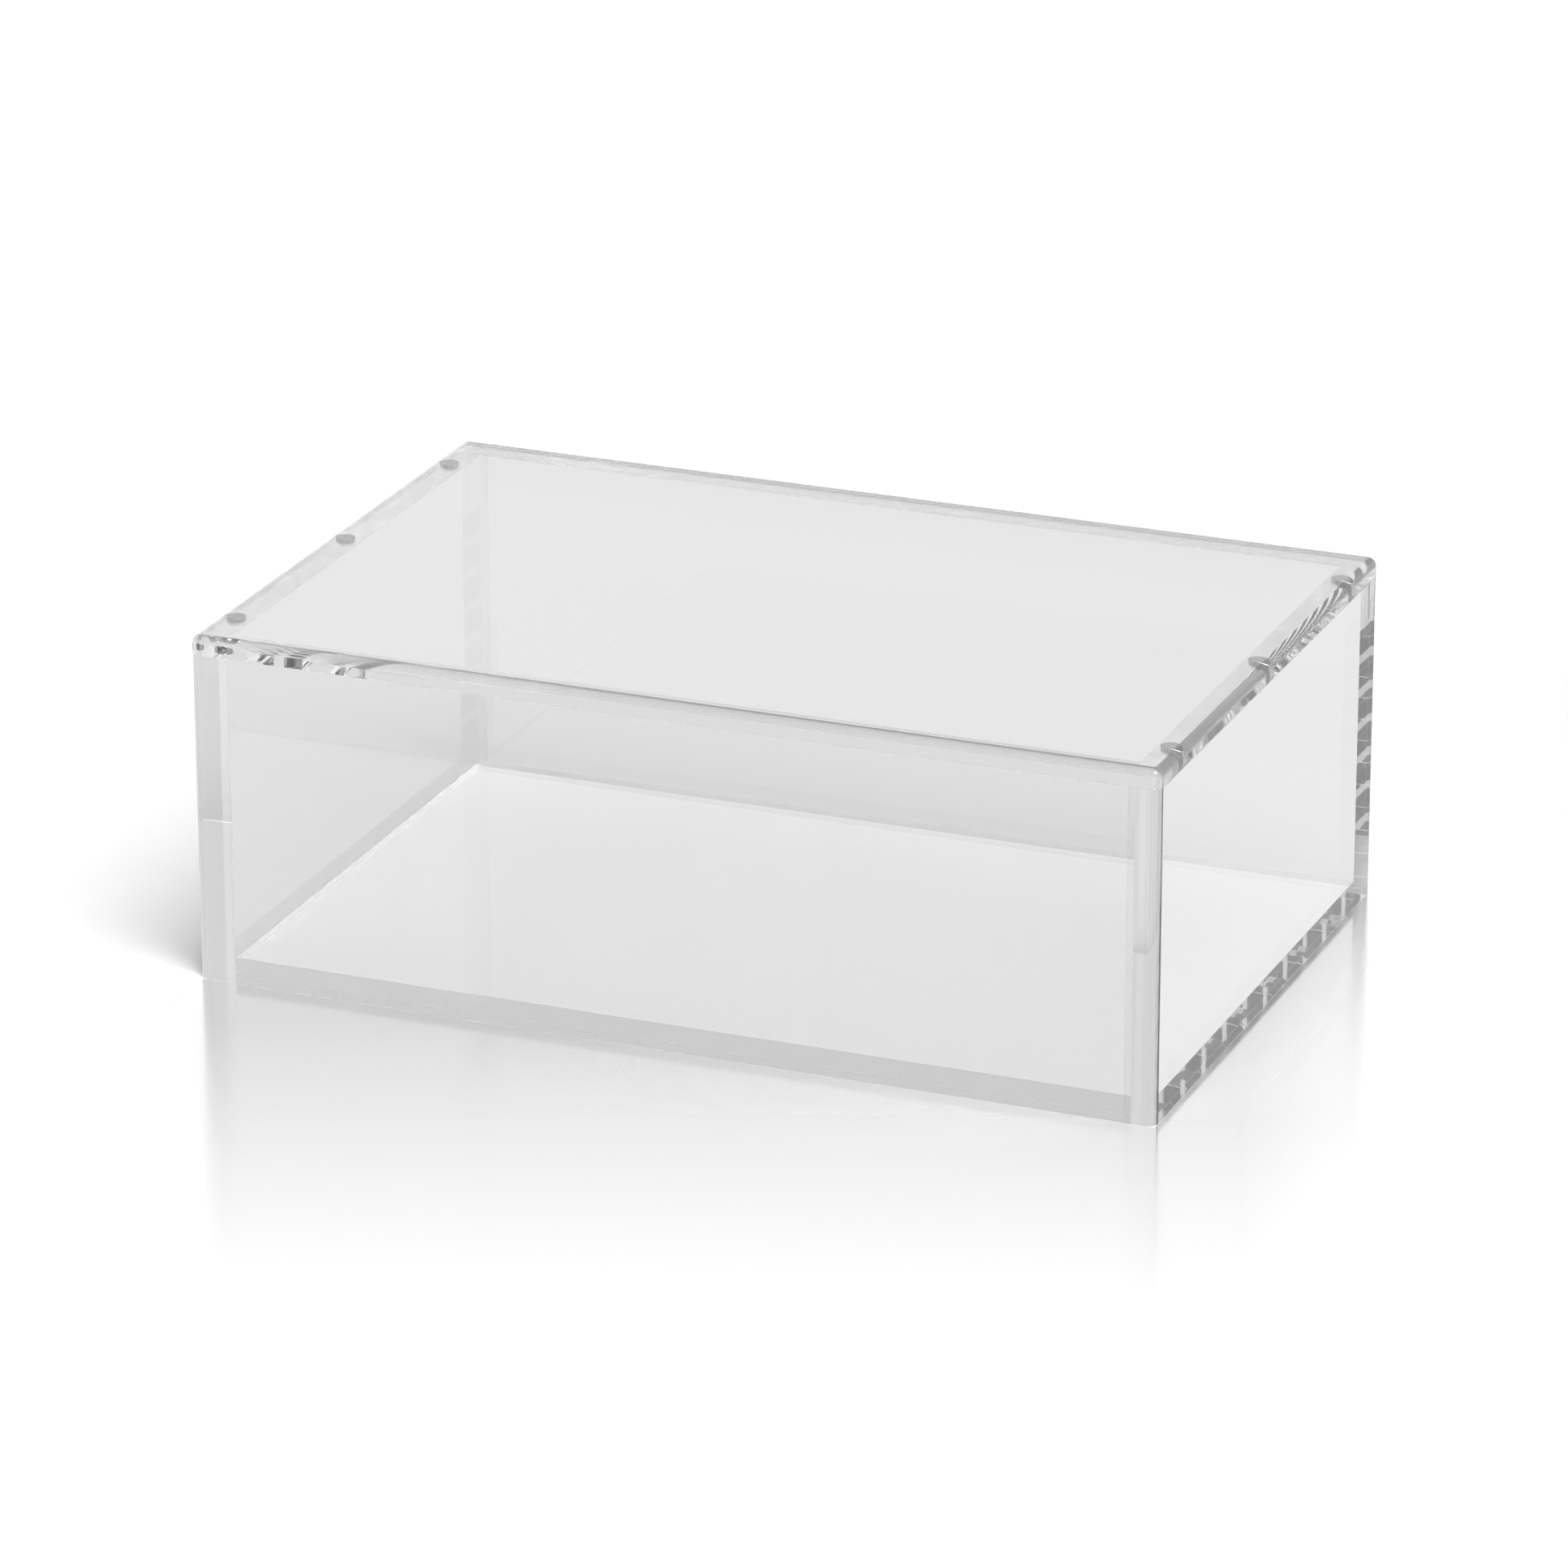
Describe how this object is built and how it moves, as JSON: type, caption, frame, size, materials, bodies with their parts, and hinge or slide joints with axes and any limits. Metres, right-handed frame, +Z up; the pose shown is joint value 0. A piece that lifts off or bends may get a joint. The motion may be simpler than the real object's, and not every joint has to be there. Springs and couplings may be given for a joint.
{
  "type": "display case",
  "caption": "Clear rectangular acrylic display case: a bonded box with an open top and a flat lift-off lid, held on by small disc magnets let into the lid, over thin steel keepers let into the end walls.",
  "frame": {"origin": "middle of the underside, on the surface the case stands on", "axes": "+X along the case from its left end to its right end, -Y out of its front, +Z up"},
  "size_m": [0.256, 0.167, 0.092],
  "materials": {
    "clear_acrylic": "clear cast acrylic sheet with polished faces and edges",
    "nickel_plate": "bright nickel plating on disc magnets and steel keepers"
  },
  "bodies": {
    "box": {"left_wall": "clear_acrylic", "right_wall": "clear_acrylic", "front_wall": "clear_acrylic", "back_wall": "clear_acrylic", "floor_plate": "clear_acrylic", "wall_keeper_left_front": "nickel_plate", "wall_keeper_left_middle": "nickel_plate", "wall_keeper_left_back": "nickel_plate", "wall_keeper_right_front": "nickel_plate", "wall_keeper_right_middle": "nickel_plate", "wall_keeper_right_back": "nickel_plate"},
    "lid": {"lid_panel": "clear_acrylic", "lid_magnet_left_front": "nickel_plate", "lid_magnet_left_middle": "nickel_plate", "lid_magnet_left_back": "nickel_plate", "lid_magnet_right_front": "nickel_plate", "lid_magnet_right_middle": "nickel_plate", "lid_magnet_right_back": "nickel_plate"}
  },
  "joints": [
    {"name": "lid_lift", "type": "slide", "parent": "box", "child": "lid", "axis": [0, 0, 1], "range_m": [0, 0.1]}
  ]
}
